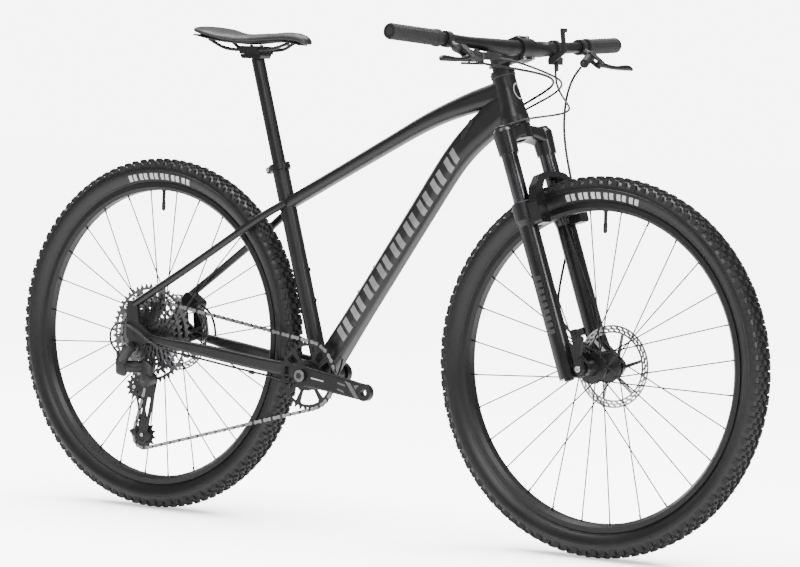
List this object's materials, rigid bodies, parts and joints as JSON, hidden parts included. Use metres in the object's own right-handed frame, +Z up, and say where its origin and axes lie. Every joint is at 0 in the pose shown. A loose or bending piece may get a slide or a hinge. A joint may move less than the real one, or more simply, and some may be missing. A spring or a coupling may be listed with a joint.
{
  "type": "mountain bicycle",
  "caption": "Hardtail mountain bicycle with suspension fork, disc brakes, single chainring drivetrain, knobby tyres and wide flat handlebar.",
  "frame": {"origin": "on the ground plane, centred between the wheels' outermost points and across the bike's width", "axes": "+X forward, +Y to the rider's left, +Z up"},
  "size_m": [1.8278, 0.7838, 1.0153],
  "materials": {
    "tyre": "matte knobby rubber",
    "black_alloy": "satin black anodised",
    "black_steel": "satin black",
    "steel": "plain steel",
    "frame_paint": "satin black paint",
    "hose": "smooth black jacket",
    "black_plastic": "matte black",
    "saddle_skin": "smooth black cover",
    "fork_paint": "gloss black paint",
    "stanchion": "black polished",
    "rubber": "matte black",
    "crank_alloy": "dark grey forged",
    "cassette_steel": "dark nickel plated"
  },
  "bodies": {
    "frame": {"head_tube": "frame_paint", "top_tube": "frame_paint", "down_tube": "frame_paint", "seat_tube": "frame_paint", "bottom_bracket_shell": "frame_paint", "chainstays": "frame_paint", "seatstays": "frame_paint", "dropouts": "frame_paint", "seat_clamp": "black_alloy", "bearing_cups": "black_alloy", "rear_axle": "black_alloy", "rear_brake_caliper": "black_alloy", "chain": "steel", "rear_brake_hose": "hose", "shift_housing": "hose"},
    "seatpost": {"seatpost": "black_alloy", "rail_clamp": "black_alloy", "saddle_rails": "black_steel", "saddle_shell": "black_plastic", "saddle_cover": "saddle_skin"},
    "steering": {"fork_crown": "fork_paint", "fork_stanchions": "stanchion", "headset_spacers": "black_alloy", "stem": "black_alloy", "handlebar": "black_alloy", "grips": "rubber", "brake_masters": "black_plastic", "shifter_body": "black_plastic", "lockout_body": "black_plastic", "lockout_cable": "hose", "front_brake_hose": "hose"},
    "fork_lowers": {"fork_lowers": "fork_paint", "front_axle": "black_alloy", "front_brake_caliper": "black_alloy"},
    "axle_lever": {"front_axle_lever": "black_alloy"},
    "front_wheel": {"front_tyre": "tyre", "front_rim": "black_alloy", "front_spokes": "black_steel", "front_hub": "black_alloy", "front_rotor": "steel"},
    "rear_wheel": {"rear_tyre": "tyre", "rear_rim": "black_alloy", "rear_spokes": "black_steel", "rear_hub": "black_alloy", "rear_rotor": "steel"},
    "cassette": {"cassette": "cassette_steel"},
    "crank": {"chainring": "black_steel", "crank_arm_right": "crank_alloy", "crank_arm_left": "crank_alloy"},
    "derailleur_base": {"derailleur_base": "black_plastic"},
    "derailleur_linkage": {"derailleur_linkage": "black_alloy"},
    "derailleur_knuckle": {"derailleur_knuckle": "black_plastic"},
    "derailleur_cage": {"derailleur_cage": "black_steel"},
    "guide_pulley": {"guide_pulley": "black_plastic"},
    "tension_pulley": {"tension_pulley": "black_plastic"},
    "brake_lever_left": {"brake_lever_left": "black_alloy"},
    "brake_lever_right": {"brake_lever_right": "black_alloy"},
    "shift_lever_main": {"shift_lever_main": "black_plastic"},
    "shift_lever_release": {"shift_lever_release": "black_plastic"},
    "lockout_lever": {"lockout_lever": "black_plastic"}
  },
  "joints": [
    {"name": "steering", "type": "hinge", "parent": "frame", "child": "steering", "pos_m": [0.3175, 0, 0.874], "axis": [-0.342, 0, 0.9397], "range_deg": [-50, 50], "deforming": ["rear_brake_hose", "shift_housing"]},
    {"name": "fork_travel", "type": "slide", "parent": "steering", "child": "fork_lowers", "axis": [-0.342, 0, 0.9397], "range_m": [0, 0.095], "stiffness_N_per_m": 6000, "springref_m": -0.02, "deforming": ["front_brake_hose"]},
    {"name": "axle_lever_turn", "type": "hinge", "parent": "fork_lowers", "child": "axle_lever", "pos_m": [0.548, 0, 0.366], "axis": [0, 1, 0], "range_deg": [0, 180]},
    {"name": "front_wheel_spin", "type": "hinge", "parent": "fork_lowers", "child": "front_wheel", "pos_m": [0.548, 0, 0.366], "axis": [0, 1, 0], "continuous": true},
    {"name": "rear_wheel_spin", "type": "hinge", "parent": "frame", "child": "rear_wheel", "pos_m": [-0.548, 0, 0.366], "axis": [0, 1, 0], "continuous": true},
    {"name": "seatpost_height", "type": "slide", "parent": "frame", "child": "seatpost", "axis": [-0.2857, 0, 0.9583], "range_m": [-0.17, 0.03]},
    {"name": "crank_spin", "type": "hinge", "parent": "frame", "child": "crank", "pos_m": [-0.1185, 0, 0.308], "axis": [0, 1, 0], "continuous": true, "deforming": ["chain"]},
    {"name": "cassette_spin", "type": "hinge", "parent": "frame", "child": "cassette", "pos_m": [-0.548, 0, 0.366], "axis": [0, 1, 0], "continuous": true},
    {"name": "derailleur_b_pivot", "type": "hinge", "parent": "frame", "child": "derailleur_base", "pos_m": [-0.558, -0.09, 0.338], "axis": [0, 1, 0], "range_deg": [0, 8], "stiffness_Nm_per_rad": 12, "springref_deg": -17.19},
    {"name": "derailleur_shift", "type": "hinge", "parent": "derailleur_base", "child": "derailleur_linkage", "pos_m": [-0.57, -0.09, 0.298], "axis": [0, 0, 1], "range_deg": [-47.5, 6.5], "stiffness_Nm_per_rad": 3, "springref_deg": 17.19},
    {"name": "derailleur_knuckle_pivot", "type": "hinge", "parent": "derailleur_linkage", "child": "derailleur_knuckle", "pos_m": [-0.537, -0.064, 0.298], "axis": [0, 0, 1], "range_deg": [-6.5, 47.5]},
    {"name": "cage_pivot", "type": "hinge", "parent": "derailleur_knuckle", "child": "derailleur_cage", "pos_m": [-0.53, 0, 0.272], "axis": [0, -1, 0], "range_deg": [0, 45], "stiffness_Nm_per_rad": 1.2, "springref_deg": -57.3},
    {"name": "guide_pulley_spin", "type": "hinge", "parent": "derailleur_cage", "child": "guide_pulley", "pos_m": [-0.578, 0, 0.253], "axis": [0, 1, 0], "continuous": true},
    {"name": "tension_pulley_spin", "type": "hinge", "parent": "derailleur_cage", "child": "tension_pulley", "pos_m": [-0.554, 0, 0.154], "axis": [0, 1, 0], "continuous": true},
    {"name": "brake_lever_left_pull", "type": "hinge", "parent": "steering", "child": "brake_lever_left", "pos_m": [0.37668, 0.226, 0.94967], "axis": [0.6088, 0, 0.7934], "range_deg": [0, 20], "stiffness_Nm_per_rad": 0.6, "springref_deg": -14.32},
    {"name": "brake_lever_right_pull", "type": "hinge", "parent": "steering", "child": "brake_lever_right", "pos_m": [0.37668, -0.226, 0.94967], "axis": [-0.6088, 0, -0.7934], "range_deg": [0, 20], "stiffness_Nm_per_rad": 0.6, "springref_deg": -14.32},
    {"name": "shift_lever_main_push", "type": "hinge", "parent": "steering", "child": "shift_lever_main", "pos_m": [0.34895, -0.15, 0.94131], "axis": [0, 0, 1], "range_deg": [0, 22], "stiffness_Nm_per_rad": 0.25, "springref_deg": -17.19},
    {"name": "shift_lever_release_push", "type": "hinge", "parent": "steering", "child": "shift_lever_release", "pos_m": [0.34895, -0.15, 0.94131], "axis": [0, 0, 1], "range_deg": [0, 12], "stiffness_Nm_per_rad": 0.15, "springref_deg": -17.19},
    {"name": "lockout_push", "type": "hinge", "parent": "steering", "child": "lockout_lever", "pos_m": [0.34444, 0.118, 0.95148], "axis": [0, 1, 0], "range_deg": [0, 20]}
  ],
  "couplings": [
    {"joint": "cassette_spin", "follows": "crank_spin", "ratio": 0.94444},
    {"joint": "guide_pulley_spin", "follows": "crank_spin", "ratio": -2.8333},
    {"joint": "tension_pulley_spin", "follows": "crank_spin", "ratio": 2.4286},
    {"joint": "derailleur_knuckle_pivot", "follows": "derailleur_shift", "ratio": -1}
  ]
}
